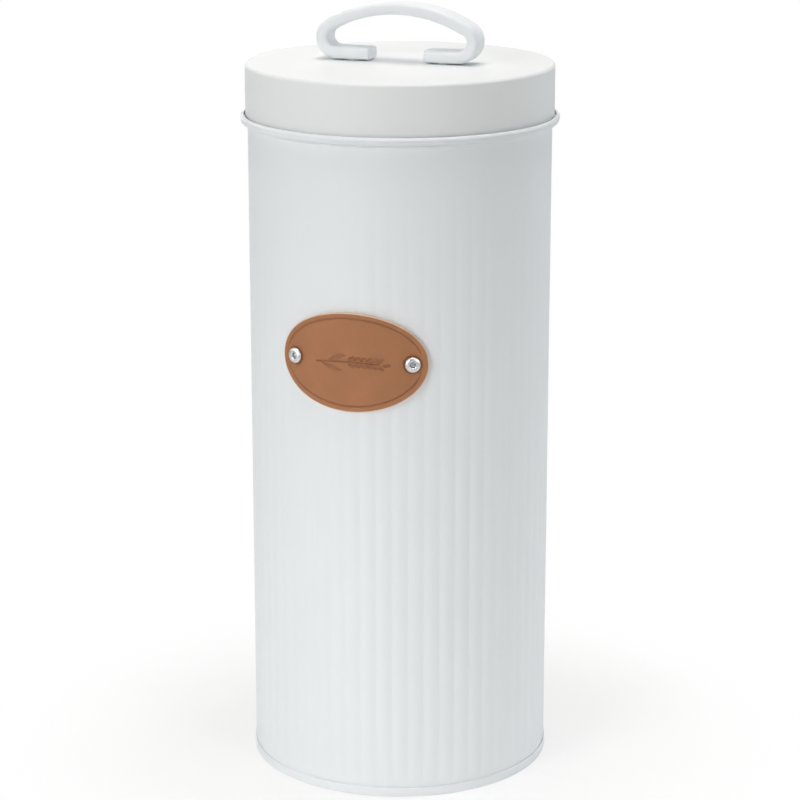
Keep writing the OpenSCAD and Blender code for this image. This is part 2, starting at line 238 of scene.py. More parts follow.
def linear(code):
    """An sRGB #RRGGBB as a linear RGBA colour."""
    parts = [int(code[i : i + 2], 16) / 255 for i in (1, 3, 5)]
    return tuple(c / 12.92 if c <= 0.04045 else ((c + 0.055) / 1.055) ** 2.4 for c in parts) + (1.0,)


def smooth(x):
    """0 below 0, 1 above 1, and an S between them."""
    x = min(max(x, 0.0), 1.0)
    return x * x * (3 - 2 * x)


def ramp(x, stops):
    """The value at x on straight lines between (x, value) stops."""
    for (x0, v0), (x1, v1) in zip(stops, stops[1:]):
        if x <= x1:
            return v0 + (v1 - v0) * max(x - x0, 0.0) / (x1 - x0)
    return stops[-1][1]


def rounded(corners, closed=True, steps=5):
    """An outline through corners (x, y, radius in mm), each rounded by an arc of that radius."""
    out = []
    count = len(corners)
    for i, (x, y, radius) in enumerate(corners):
        here = Vector((x, y))
        if not radius or (not closed and i in (0, count - 1)):
            out.append(here)
            continue
        back = (Vector(corners[i - 1][:2]) - here).normalized()
        ahead = (Vector(corners[(i + 1) % count][:2]) - here).normalized()
        half = back.angle(ahead) / 2
        r = radius * MM
        centre = here + (back + ahead).normalized() * (r / sin(half))
        start = here + back * (r / tan(half)) - centre
        end = here + ahead * (r / tan(half)) - centre
        turn = atan2(start.x * end.y - start.y * end.x, start.dot(end))
        for k in range(steps + 1):
            out.append(centre + Matrix.Rotation(turn * k / steps, 2) @ start)
    return out


def arc(x, y, r, a0, a1, steps):
    """Points on an arc about (x, y), from angle a0 to a1 in degrees."""
    turns = [radians(a0 + (a1 - a0) * k / steps) for k in range(steps + 1)]
    return [Vector((x + r * cos(a), y + r * sin(a))) for a in turns]


def mesh_object(name, points, faces, sharp=38, slots=None):
    """A mesh object with outward faces, smooth apart from edges sharper than an angle in degrees."""
    mesh = bpy.data.meshes.new(name)
    mesh.from_pydata(points, [], faces)
    if slots:
        mesh.polygons.foreach_set("material_index", slots)
    work = bmesh.new()
    work.from_mesh(mesh)
    bmesh.ops.recalc_face_normals(work, faces=work.faces)
    work.to_mesh(mesh)
    work.free()
    mesh.shade_smooth()
    mesh.set_sharp_from_angle(angle=radians(sharp))
    made = bpy.data.objects.new(name, mesh)
    bpy.context.scene.collection.objects.link(made)
    return made


def turned(name, outline, steps=192, closed=True, place=None, radius=None, turns=None, sharp=38):
    """A solid turned round Z from an outline of (radius, height). radius(r, z, angle) may change it."""
    turns = turns or [2 * pi * i / steps for i in range(steps)]
    points, rings = [], []
    for r, z in outline:
        if r < 1e-7:
            rings.append([len(points)] * len(turns))
            points.append(Vector((0, 0, z)))
            continue
        rings.append(list(range(len(points), len(points) + len(turns))))
        for a in turns:
            reach = radius(r, z, a) if radius else r
            points.append(Vector((reach * sin(a), -reach * cos(a), z)))
    if place is not None:
        points = [place @ p for p in points]
    faces = []
    pairs = list(zip(rings, rings[1:])) + ([(rings[-1], rings[0])] if closed else [])
    for low, high in pairs:
        for i in range(len(turns)):
            j = (i + 1) % len(turns)
            face = list(dict.fromkeys((low[i], low[j], high[j], high[i])))
            if len(face) > 2:
                faces.append(face)
    return mesh_object(name, points, faces, sharp)


def swept(name, sections):
    """A solid through closed sections of points, with a flat face at each end."""
    n = len(sections[0])
    points = [p for section in sections for p in section]
    faces = [list(range(n)), list(range(len(points) - n, len(points)))]
    for k in range(len(sections) - 1):
        for i in range(n):
            j = (i + 1) % n
            faces.append((k * n + i, (k + 1) * n + i, (k + 1) * n + j, k * n + j))
    return mesh_object(name, points, faces)


def fit_piece(piece, body, slot, nodes, *materials):
    """Gives a piece its materials, ties it to its body and hides the nodes that it stands for. Its finish
    is not used.
    """
    for material in materials:
        piece.data.materials.append(material)
    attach(piece, body)
    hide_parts(*nodes)


# ---- Materials ----


def add(tree, kind, links=None, **settings):
    """Adds a shader node. links gives each input a value or another node's output."""
    made = tree.nodes.new(kind)
    for name, value in settings.items():
        setattr(made, name, value)
    for socket, value in (links or {}).items():
        if isinstance(value, bpy.types.NodeSocket):
            tree.links.new(value, made.inputs[socket])
        else:
            made.inputs[socket].default_value = value
    return made


def material(name, finish, *values, **named):
    """The material of that name. A new one takes the shader inputs that its finish gives."""
    made = bpy.data.materials.get(name)
    if made is None:
        made = bpy.data.materials.new(name)
        made.use_nodes = True
        tree = made.node_tree
        tree.nodes.clear()
        bsdf = add(tree, "ShaderNodeBsdfPrincipled", finish(tree, *values, **named))
        add(tree, "ShaderNodeOutputMaterial", {"Surface": bsdf.outputs[0]})
    return made


def across(size_mm):
    """The texture scale that makes features about size_mm across."""
    return 1 / (size_mm * MM)


def shade(code, amount):
    """A colour made lighter or darker by a small share."""
    parts = [min(255, round(int(code[i : i + 2], 16) * amount)) for i in (1, 3, 5)]
    return "#%02X%02X%02X" % tuple(parts)


def powder_coat(tree, code, roughness):
    """White polyester powder coat, sprayed on steel and baked. It flows into a skin with a faint
    orange peel, so highlights are soft and slightly broken and the colour is even."""
    place = add(tree, "ShaderNodeTexCoord").outputs["Object"]
    drift = add(tree, "ShaderNodeTexNoise", {"Vector": place, "Scale": across(45), "Detail": 1.0})
    peel = add(
        tree,
        "ShaderNodeTexNoise",
        {"Vector": place, "Scale": across(1.8), "Detail": 2.0, "Roughness": 0.45},
    ).outputs[0]
    colours = {"Factor": drift.outputs[0], 6: linear(shade(code, 0.992)), 7: linear(code)}
    gloss = {"Value": peel, "To Min": roughness - 0.03, "To Max": roughness + 0.03}
    bump = {"Height": peel, "Strength": 0.35, "Distance": 0.012 * MM}
    return {
        "Base Color": add(tree, "ShaderNodeMix", colours, data_type="RGBA").outputs[2],
        "Roughness": add(tree, "ShaderNodeMapRange", gloss).outputs[0],
        "IOR": 1.5,
        "Normal": add(tree, "ShaderNodeBump", bump).outputs[0],
    }


def tanned_leather(tree, light, dark):
    """Vegetable-tanned cowhide, dyed and waxed on its grain side: fine creased grain, patches
    where the dye took unevenly, and a low soft shine."""
    place = add(tree, "ShaderNodeTexCoord").outputs["Object"]
    patches = add(
        tree,
        "ShaderNodeTexNoise",
        {"Vector": place, "Scale": across(9), "Detail": 3.0, "Roughness": 0.55},
    )
    # Real grain cells are about 0.25 mm. They are drawn coarser so that they show at all
    cells = add(tree, "ShaderNodeTexVoronoi", {"Vector": place, "Scale": across(0.6)}).outputs["Distance"]
    crease = add(tree, "ShaderNodeTexNoise", {"Vector": place, "Scale": across(1.4), "Detail": 4.0})
    grain = add(tree, "ShaderNodeMath", {0: cells, 1: crease.outputs[0]}, operation="ADD")
    dye = add(tree, "ShaderNodeMapRange", {"Value": patches.outputs[0], "To Min": -0.6, "To Max": 1.3})
    colours = {"Factor": dye.outputs[0], 6: linear(light), 7: linear(dark)}
    bump = {"Height": grain.outputs[0], "Strength": 0.6, "Distance": 0.06 * MM}
    return {
        "Base Color": add(tree, "ShaderNodeMix", colours, data_type="RGBA").outputs[2],
        "Roughness": add(
            tree, "ShaderNodeMapRange", {"Value": cells, "To Min": 0.6, "To Max": 0.72}
        ).outputs[0],
        "IOR": 1.5,
        "Normal": add(tree, "ShaderNodeBump", bump).outputs[0],
    }


def leather_fibres(tree, code):
    """The cut edge of the hide, left undyed: pale fibres with no shine."""
    place = add(tree, "ShaderNodeTexCoord").outputs["Object"]
    fibres = add(
        tree,
        "ShaderNodeTexNoise",
        {"Vector": place, "Scale": across(0.5), "Detail": 4.0, "Roughness": 0.7},
    ).outputs[0]
    colours = {"Factor": fibres, 6: linear(shade(code, 0.84)), 7: linear(code)}
    bump = {"Height": fibres, "Strength": 0.6, "Distance": 0.08 * MM}
    return {
        "Base Color": add(tree, "ShaderNodeMix", colours, data_type="RGBA").outputs[2],
        "Roughness": 0.85,
        "IOR": 1.45,
        "Normal": add(tree, "ShaderNodeBump", bump).outputs[0],
    }


def formed_metal(tree, code, roughness, mark_mm):
    """Cold-formed aluminium or zinc-plated steel: a satin skin with fine scuffs, so lights
    show as soft broad patches."""
    place = add(tree, "ShaderNodeTexCoord").outputs["Object"]
    scuffs = add(
        tree,
        "ShaderNodeTexNoise",
        {"Vector": place, "Scale": across(mark_mm), "Detail": 5.0, "Roughness": 0.65},
    ).outputs[0]
    colours = {"Factor": scuffs, 6: linear(shade(code, 0.93)), 7: linear(code)}
    gloss = {"Value": scuffs, "To Min": roughness - 0.06, "To Max": roughness + 0.08}
    bump = {"Height": scuffs, "Strength": 0.25, "Distance": 0.02 * MM}
    return {
        "Base Color": add(tree, "ShaderNodeMix", colours, data_type="RGBA").outputs[2],
        "Metallic": 1.0,
        "Roughness": add(tree, "ShaderNodeMapRange", gloss).outputs[0],
        "Normal": add(tree, "ShaderNodeBump", bump).outputs[0],
    }


def moulded_silicone(tree, code):
    """Translucent silicone rubber from a blasted mould: a matt face that light sinks into."""
    place = add(tree, "ShaderNodeTexCoord").outputs["Object"]
    blast = add(
        tree, "ShaderNodeTexNoise", {"Vector": place, "Scale": across(0.4), "Detail": 2.0}
    ).outputs[0]
    colours = {"Factor": blast, 6: linear(shade(code, 0.97)), 7: linear(code)}
    bump = {"Height": blast, "Strength": 0.3, "Distance": 0.01 * MM}
    return {
        "Base Color": add(tree, "ShaderNodeMix", colours, data_type="RGBA").outputs[2],
        "Roughness": 0.5,
        "IOR": 1.41,
        "Subsurface Weight": 0.2,
        "Subsurface Scale": 1 * MM,
        "Normal": add(tree, "ShaderNodeBump", bump).outputs[0],
    }


def body_coating(s):
    return material("powder_coat_body", powder_coat, s.body_coat, s.coat_roughness)


def lid_coating(s):
    return material("powder_coat_lid", powder_coat, s.lid_coat, s.coat_roughness)


# ---- Body ----


def groove(s, d, a):
    """How deep the wall lies at an angle, from 0 on a rib's back to 1 in a groove."""
    if abs(abs(a) - pi) < d.rib_pitch:
        return 0.0
    wave = sqrt(cos(a * s.rib_count / 2) ** 2 + s.rib_valley**2)
    return 1 - min((wave - s.rib_valley) / (sqrt(1 + s.rib_valley**2) - s.rib_valley), 1.0)


def rib_weight(d, z):
    """The ribs are rolled deepest over the lower half and die out towards the rim."""
    # Share of the ribs' height, and the depth there
    stops = [(0.019, 0), (0.034, 1), (0.3, 1), (0.55, 0.72), (0.84, 0.38), (0.95, 0.1), (1, 0)]
    return ramp(z / d.rib_top_z, stops)


def build_body_wall(s):
    d = derive(s)
    plain = rounded(
        [
            (d.wall_r, d.swage_top_z - s.swage_h - 0.4 * MM, 0.3),
            (d.wall_r + s.swage_out, d.swage_top_z - s.swage_h, 0.25),
            (d.wall_r + s.swage_out, d.swage_top_z, 0.25),
            (d.wall_r, d.swage_top_z + 0.1 * MM, 0.1),
            (d.wall_r, d.wall_top_z, 0.1),
            (d.wall_in_r, d.wall_top_z, 0.1),
            (d.wall_in_r, d.rib_top_z + 1 * MM, 0),
        ],
        closed=False,
        steps=4,
    )
    # Heights of the rings of points, in mm, close together where the ribs begin
    levels = [0.7, 2.4, 3.2, 3.5, 3.8, 4.1, 4.5, 5, 5.5, 6.2, 7, 8, 9, 12] + list(range(24, 110, 12))
    levels = [level * MM for level in levels + list(range(116, 236, 5))] + [d.rib_top_z]
    outline = [Vector((d.wall_r, z)) for z in levels] + plain
    outline += [Vector((d.wall_in_r, z)) for z in reversed(levels)]
    columns = s.rib_count * 12
    turns = [2 * pi * i / columns - pi for i in range(1, columns)]
    # The seam's own columns stand close together where its lap rises
    seam_a = pi - s.seam_w / 2 / d.wall_r
    rise_a, rise_w = seam_a - 0.001, 0.0025
    edges = [rise_a - rise_w, rise_a, rise_a + rise_w, seam_a + 0.006]
    turns = sorted([a for a in turns if abs(a) < seam_a - 0.004] + edges + [-a for a in edges] + [pi])
    nip_reach = 0.7 * MM

    def reach(r, z, a):
        if z > d.rib_top_z:
            return r
        made = r - s.rib_depth * groove(s, d, a) * rib_weight(d, z)
        if r == d.wall_r:
            lap = smooth((abs(a) - rise_a) / rise_w) * smooth((z - d.rib_foot_z) / MM)
            # The seaming tool draws the wall in a little just above the base ring
            nip = exp(-(((z - s.base_ring_h) / nip_reach) ** 2))
            made += s.seam_proud * lap - s.seam_nip * nip
        return made

    wall = turned("body_wall_skin", outline, radius=reach, turns=turns, sharp=50)
    fit_piece(wall, "canister", "body_coating", ["body_wall"], body_coating(s))


def build_neck_collar(s):
    d = derive(s)
    t = s.sheet_t
    curl_x, curl_z = d.neck_r - s.neck_curl_r, d.neck_top_z - s.neck_curl_r
    dip = degrees(acos((d.neck_r - t - curl_x) / s.neck_curl_r))
    lip_in_r, face_r = d.rim_r - s.rim_lip_t, d.rim_r - s.rim_step
    edge_z, foot_z = s.body_h - s.rim_edge_r, s.body_h - s.rim_h
    outline = rounded(
        [
            (d.neck_r, d.gutter_z - t, 0),
            (d.neck_r, d.neck_foot_z, 0.1),
            (d.neck_r - t, d.neck_foot_z, 0.1),
            (d.neck_r - t, curl_z - s.neck_curl_r, 0),
        ],
        closed=False,
    )
    outline += arc(curl_x, curl_z, s.neck_curl_r, -dip, -360, 24)
    outline += rounded(
        [
            (d.neck_r, curl_z - 1 * MM, 0),
            (d.neck_r, d.gutter_z, 0.35),
            (lip_in_r, d.gutter_z, 0.35),
            (lip_in_r, s.body_h, 0.18),
            (d.rim_r - s.rim_edge_r, s.body_h, 0),
        ],
        closed=False,
    )
    outline += arc(d.rim_r - s.rim_edge_r, edge_z, s.rim_edge_r, 90, -20, 20)
    outline += rounded(
        [
            (face_r - 0.1 * MM, edge_z - 0.45 * MM, 0.05),
            (face_r, edge_z - 0.6 * MM, 0.3),
            (face_r, foot_z, 0.4),
            (lip_in_r, foot_z, 0.4),
            (lip_in_r, d.gutter_z - t, 0.05),
            (d.neck_r + 0.1 * MM, d.gutter_z - t, 0),
        ],
        closed=False,
        steps=8,
    )
    collar = turned("neck_collar_skin", outline)
    fit_piece(collar, "canister", "body_coating", ["neck_collar"], body_coating(s))


def build_base_pan(s):
    d = derive(s)
    t = s.sheet_t
    step_r = s.base_step_d / 2
    panel = s.base_rise + t
    outline = rounded(
        [
            (0, s.base_rise + s.base_step_h, 0),
            (step_r - t, s.base_rise + s.base_step_h, 0.3),
            (step_r - t, s.base_rise, 0.3),
            (d.neck_r - t, s.base_rise, 0.5),
            (d.neck_r - t, 0, 0.3),
            (d.ring_r, 0, 0.35),
            (d.ring_r, s.base_ring_h, 0.3),
            (d.wall_r + s.fit_gap, s.base_ring_h, 0.1),
            (d.wall_r + s.fit_gap, s.base_foot_t, 0),
            (d.neck_r, s.base_foot_t, 0),
            (d.neck_r, panel, 0.4),
            (step_r, panel, 0.3),
            (step_r, panel + s.base_step_h, 0.3),
            (0, panel + s.base_step_h, 0),
        ],
        closed=False,
    )
    pan = turned("base_pan_skin", outline, closed=False)
    fit_piece(pan, "canister", "body_coating", ["base_pan"], body_coating(s))


# ---- Label and rivets ----


def sprig(u, v):
    """The pressed sprig of an ear of grain, as a depth from 0 to 1 at a place in mm."""

    def stem(x):
        return 0.9 * cos(pi * x / 30) - 0.6

    def grain(x, y, tilt, half_l, half_w):
        du, dv = u - x, v - y
        along, aside = du * cos(tilt) + dv * sin(tilt), dv * cos(tilt) - du * sin(tilt)
        return smooth(2.2 - 2 * hypot(along / half_l, aside / half_w))

    depth = 0.0
    stem_ends, stem_half_w = (-13, 11), 0.28
    if stem_ends[0] < u < stem_ends[1]:
        depth = smooth(1.4 - abs(v - stem(u)) / stem_half_w)
    # Six pairs of grains lean out from the stem, and one stands at its tip
    first, pitch, out, lean = 0.6, 2.1, 1.25, radians(26)
    for i in range(6):
        for side in (LEFT, RIGHT):
            x = first + pitch * i
            depth = max(depth, grain(x, stem(x) + side * out, side * lean, 1.7, 0.72))
    depth = max(depth, grain(13.4, -0.45, 0, 1.8, 0.75))
    # Two leaves leave the stem at their left end and curve away from it
    for side, x0, x1 in ((LEFT, -11.5, -3.0), (RIGHT, -9.0, -1.2)):
        if x0 < u < x1:
            share = (u - x0) / (x1 - x0)
            middle = stem(x0) + side * 2.6 * sin(share * pi / 2) ** 1.3
            half_w = 0.12 + 0.75 * sin(pi * share)
            depth = max(depth, smooth(1.5 - abs(v - middle) / half_w))
    return depth


def label_face(s, d, u, v, inset):
    """How far the leather's face lies from flat at a place on it, in mm, and how far it takes the darker
    pressed colour, which is partly burnished leather and partly painted shade in the grooves and round the
    rivet heads.
    """
    edge_r = 0.3
    height = 0.0
    if inset < edge_r:
        height -= edge_r - sqrt(max(edge_r**2 - (edge_r - inset) ** 2, 0.0))
    near = min(hypot(u - side * d.rivet_u / MM, v) for side in (LEFT, RIGHT))
    border = exp(-(((inset - s.border_inset / MM) / (s.border_w / MM / 1.6)) ** 2))
    # The border line fades beside each rivet
    fade_from, fade_w, fade_least = 3.5, 3, 0.35
    border *= fade_least + (1 - fade_least) * smooth((near - fade_from) / fade_w)
    # The pressed line and sprig are drawn darker: partly burnished leather, partly painted shade in their
    # grooves
    pressed = max(border, sprig(u, v))
    # The leather bellies a little between its rivets, and each head pulls it down and bites into it
    head_r = s.rivet_head_d / 2 / MM
    pull_depth, pull_reach, bite_depth, bite_w = 0.32, 2.6, 0.4, 0.3
    bite = exp(-(((near - head_r - bite_w / 2) / bite_w) ** 2))
    pull = pull_depth * (1 - smooth((near - head_r) / pull_reach)) + bite_depth * bite
    # The bite round each head also takes the darker colour, as painted shade round the rivet head
    return height - pressed * s.press_depth / MM - pull, max(pressed, bite)


def build_label(s):
    d = derive(s)
    steps, inner_rows = 480, 90
    middle_inset = 9
    half_w, half_h = s.label_w / 2 / MM, s.label_h / 2 / MM
    # Rows of points, in mm from the edge, close together at the rounded edge and the pressed line
    insets = [0.0, 0.05, 0.15, 0.3, 0.5, 0.9, 1.3, 1.5, 1.65, 1.75]
    insets += [1.85, 2.0, 2.15, 2.25, 2.35, 2.5, 2.8, 3.2, 3.6]
    t = [2 * pi * i / steps for i in range(steps)]

    def rim(a, inset):
        normal = Vector((cos(a) / half_w, sin(a) / half_h)).normalized()
        return Vector((half_w * cos(a), half_h * sin(a))) - normal * inset

    rows = [[(*rim(a, inset), inset) for a in t] for inset in insets]
    for k in range(1, inner_rows):
        share = 1 - k / inner_rows
        inset = insets[-1] + middle_inset * (1 - share)
        rows.append([(*(rim(a, insets[-1]) * share), inset) for a in t])

    def bent(u, v, r):
        a = u * MM / d.label_out_r
        return Vector((r * sin(a), -r * cos(a), s.label_z + v * MM))

    points, faces, slots = [], [], []
    pressed_and_shaded = []
    for row in rows:
        for u, v, inset in row:
            height, pressed = label_face(s, d, u, v, inset)
            # Pressed faces and the ring round each rivet head take the darker colour, which is partly
            # painted shade
            pressed_and_shaded.append(pressed > 0.5)
            points.append(bent(u, v, d.label_out_r + height * MM))
    points.append(bent(0, 0, d.label_out_r + label_face(s, d, 0, 0, 12)[0] * MM))
    middle = len(points) - 1
    last = (len(rows) - 1) * steps
    for k in range(len(rows) - 1):
        for i in range(steps):
            j = (i + 1) % steps
            faces.append((k * steps + i, k * steps + j, (k + 1) * steps + j, (k + 1) * steps + i))
            dark = pressed_and_shaded[k * steps + i] and pressed_and_shaded[(k + 1) * steps + j]
            face = PRESSED_AND_SHADE if dark else GRAIN
            slots.append(CUT if rows[k][i][2] < 0.2 else face)
    faces += [(last + i, last + (i + 1) % steps, middle) for i in range(steps)]
    slots += [GRAIN] * steps
    # The cut edge and the back, which lies against the body. Each row: inset and lift, in mm
    low = len(points)
    back_rows = [(0.0, 0.35), (0.1, 0.08), (0.4, 0.0), (5.0, 0.0), (12.0, 0.0)]
    for inset, lift in back_rows:
        points += [bent(*rim(a, inset), d.label_in_r + lift * MM) for a in t]
    points.append(bent(0, 0, d.label_in_r))
    for k in range(-1, len(back_rows) - 1):
        for i in range(steps):
            j = (i + 1) % steps
            a = [i, j] if k < 0 else [low + k * steps + i, low + k * steps + j]
            b = low + (k + 1) * steps
            faces.append((*a, b + j, b + i))
            slots.append(CUT)
    last = low + (len(back_rows) - 1) * steps
    faces += [(last + i, last + (i + 1) % steps, len(points) - 1) for i in range(steps)]
    slots += [CUT] * steps
    label = mesh_object("label_leather", points, faces, sharp=60, slots=slots)
    fit_piece(
        label,
        "canister",
        "label_leather",
        ["label"],
        material("tanned_leather", tanned_leather, s.leather, s.leather_dark),
        # The darker copy of the leather: partly burnished pressing, partly painted shade in the grooves and
        # round the rivet heads
        material("tanned_leather_pressed_and_shade", tanned_leather, s.leather_pressed_and_shade, s.leather_dark),
        material("leather_cut_edge", leather_fibres, s.leather_edge),
    )


def rivet_place(s, d, side):
    """Where a rivet stands: its own Z points out through its head."""
    round_body = Matrix.Rotation(side * d.rivet_u / d.label_out_r, 4, "Z")
    return Matrix.Translation((0, 0, s.label_z)) @ round_body @ Matrix.Rotation(pi / 2, 4, "X")


def build_rivets(s):
    d = derive(s)
    head_r, head_z = s.rivet_head_d / 2, d.label_out_r
    shank_r, bore_r = s.rivet_d / 2, s.mandrel_d / 2 + s.fit_gap
    bulb_gap = 0.4 * MM
    bulb_z = d.wall_in_r - bulb_gap
    foot_z = bulb_z - s.rivet_bulb_h
    metal = material("satin_aluminium", formed_metal, s.aluminium, roughness=0.28, mark_mm=0.5)
    steel = material("broken_steel", formed_metal, s.zinc, roughness=0.42, mark_mm=0.3)
    crown = s.rivet_head_h
    outline = [Vector((bore_r, foot_z))]
    # A low head with a rolled edge, dished round the broken mandrel
    outline += rounded(
        [
            (bore_r, head_z, 0),
            (bore_r, head_z + crown - 0.45 * MM, 0.1),
            (head_r * 0.46, head_z + crown, 0.3),
            (head_r * 0.7, head_z + crown * 0.93, 1.2),
            (head_r, head_z + crown * 0.55, 0.8),
            (head_r, head_z, 0.08),
            (shank_r, head_z, 0),
            (shank_r, bulb_z + 0.3 * MM, 0),
            (s.rivet_bulb_d / 2, bulb_z, 0.5),
            (s.rivet_bulb_d / 2 - 0.2 * MM, foot_z + 0.9 * MM, 1.0),
            (shank_r, foot_z, 0.3),
            (bore_r, foot_z, 0),
        ],
        closed=False,
    )[:-1]
    stem_r = s.mandrel_d / 2
    stem_foot = foot_z - s.mandrel_head_h
    stem_top = head_z + s.rivet_head_h - s.mandrel_recess
    pin = rounded(
        [
            (0, stem_foot, 0),
            (s.mandrel_head_d / 2, stem_foot, 0.5),
            (s.mandrel_head_d / 2, foot_z - 0.1 * MM, 0.2),
            (stem_r, foot_z, 0),
            (stem_r, stem_top - 0.25 * MM, 0.2),
            (stem_r * 0.6, stem_top - 0.05 * MM, 0.1),
            (0, stem_top, 0),
        ],
        closed=False,
    )
    for side, word in ((LEFT, "left"), (RIGHT, "right")):
        place = rivet_place(s, d, side)
        rivet = turned("rivet_" + word, outline, 64, place=place)
        fit_piece(rivet, "canister", "rivet_aluminium", ["label_rivet_" + word], metal)
        mandrel = turned("mandrel_" + word, pin, 40, closed=False, place=place)
        fit_piece(mandrel, "canister", "mandrel_steel", ["rivet_mandrel_" + word], steel)


# ---- Lid ----


def build_lid_shell(s):
    d = derive(s)
    t = s.sheet_t
    outline = [Vector((0, d.lid_top_z)), Vector((d.edge_r * 0.5, d.lid_top_z))]
    outline += arc(d.edge_r, d.edge_z, s.lid_edge_r, 90, 0, 16)
    outline += rounded(
        [
            (d.skirt_r, d.edge_z - 0.3 * MM, 0),
            (d.skirt_r, d.skirt_foot_z, 0.45),
            (d.skirt_r - 2 * t, d.skirt_foot_z, 0.45),
            (d.skirt_r - 2 * t, d.skirt_foot_z + s.lid_hem_h, 0.2),
            (d.skirt_r - t, d.skirt_foot_z + s.lid_hem_h + 0.1 * MM, 0),
        ],
        closed=False,
    )
    outline += arc(d.edge_r, d.edge_z, s.lid_edge_r - t, 0, 90, 12)
    outline += [Vector((0, d.lid_under_z))]
    shell = turned("lid_shell_skin", outline, closed=False)
    fit_piece(shell, "lid", "lid_coating", ["lid_shell"], lid_coating(s))


def build_lid_seal(s):
    d = derive(s)
    outer = d.edge_r - s.fit_gap
    inner = outer - s.seal_w
    foot, top = d.seal_foot_z, d.lid_under_z
    outline = rounded(
        [
            (inner, top, 0.1),
            (inner, foot, 0.5),
            (inner + s.seal_w * 0.4, foot, 0.1),
            (inner + s.seal_w * 0.5, foot + 0.25 * MM, 0.1),
            (inner + s.seal_w * 0.6, foot, 0.1),
            (outer, foot, 0.5),
            (outer, top, 0.1),
        ]
    )
    seal = turned("lid_seal_ring", outline)
    rubber = material("moulded_silicone", moulded_silicone, s.silicone)
    fit_piece(seal, "lid", "seal_silicone", ["lid_seal"], rubber)


# ---- Handle and its fixings ----


def handle_path(s, d):
    """Places on the bar's middle line: x, z, the way its outer face looks, and how far it is drawn in."""

    def bend(x, z, r, a0, a1, steps):
        return [
            (x + (r - s.bar_t / 2) * cos(a), z + (r - s.bar_t / 2) * sin(a), a, 0.0)
            for a in (a0 + (a1 - a0) * i / steps for i in range(steps + 1))
        ]

    def foot(side, a):
        z = d.foot_z + s.bar_t / 2
        ends = [radians(90 * i / 4) for i in range(5)]
        return [
            (side * (s.foot_gap / 2 + s.bar_end_r * (1 - sin(e))), z, a, s.bar_end_r * (1 - cos(e)))
            for e in reversed(ends)
        ]

    # The bends end where the arch begins, so the arch's own sections start a step further on
    slim = radians(2.5)
    right = foot(RIGHT, -pi / 2) + bend(d.bend_x, d.bend_z, s.bend_r, -pi / 2, d.join_a, 24)
    arch = bend(0, d.arc_z, d.arc_r, d.join_a + slim, pi - d.join_a - slim, 22)
    left = bend(-d.bend_x, d.bend_z, s.bend_r, pi - d.join_a, pi * 1.5, 24)
    return right + arch + left + foot(LEFT, pi * 1.5)[::-1]


def bar_section(s, ring):
    """A rectangle with rounded corners across the bar at a place on its middle line."""
    x, z, a, drawn_in = ring
    r = s.bar_edge_r
    points = []
    for corner in range(4):
        for i in range(7):
            turn = radians(corner * 90 + i * 15)
            side = 1 if corner in (0, 3) else -1
            back = 1 if corner < 2 else -1
            u = side * (s.bar_t / 2 - r) + (r - drawn_in) * cos(turn)
            y = back * (s.bar_d / 2 - r) + (r - drawn_in) * sin(turn)
            points.append(Vector((x + u * cos(a), y, z + u * sin(a))))
    return points


def build_handle(s):
    d = derive(s)
    bar = swept("handle_bar", [bar_section(s, ring) for ring in handle_path(s, d)])
    # A lighter copy of the white coat: painted light on the handle
    coat = material("powder_coat_handle_painted_lighter", powder_coat, s.handle_coat_painted_lighter, s.handle_roughness)
    fit_piece(bar, "lid", "handle_coating", ["handle"], coat)


def ring_outline(inner, outer, low, high, edge):
    corners = [(inner, low), (outer, low), (outer, high), (inner, high)]
    return rounded([(r, z, edge) for r, z in corners], steps=3)


def cut_cross(screw, s, place):
    """Cuts the tapered cross recess into the underside of a screw's head."""
    reach, half, depth = s.screw_head_d * 0.3, s.screw_head_d / 14, s.screw_head_h / 2
    overlap, taper = 0.2 * MM, 0.55
    points, faces = [], []
    for turn in (0, pi / 2):
        first = len(points)
        for z, share in ((-overlap, 1.0), (depth, taper)):
            for x, y in ((-reach, -half), (reach, -half), (reach, half), (-reach, half)):
                spot = Matrix.Rotation(turn, 4, "Z") @ Vector((x * share, y, z))
                points.append(place @ spot)
        faces += [[first + i for i in face] for face in ((0, 1, 2, 3), (4, 5, 6, 7))]
        for i in range(4):
            j = (i + 1) % 4
            faces.append([first + i, first + j, first + 4 + j, first + 4 + i])
    cutter = mesh_object("cutter", points, faces)
    cut = screw.modifiers.new("cross", "BOOLEAN")
    cut.operation, cut.object, cut.solver, cut.use_self = "DIFFERENCE", cutter, "EXACT", True
    graph = bpy.context.evaluated_depsgraph_get()
    shaped = bpy.data.meshes.new_from_object(screw.evaluated_get(graph))
    screw.modifiers.clear()
    screw.data = shaped
    bpy.data.objects.remove(cutter)


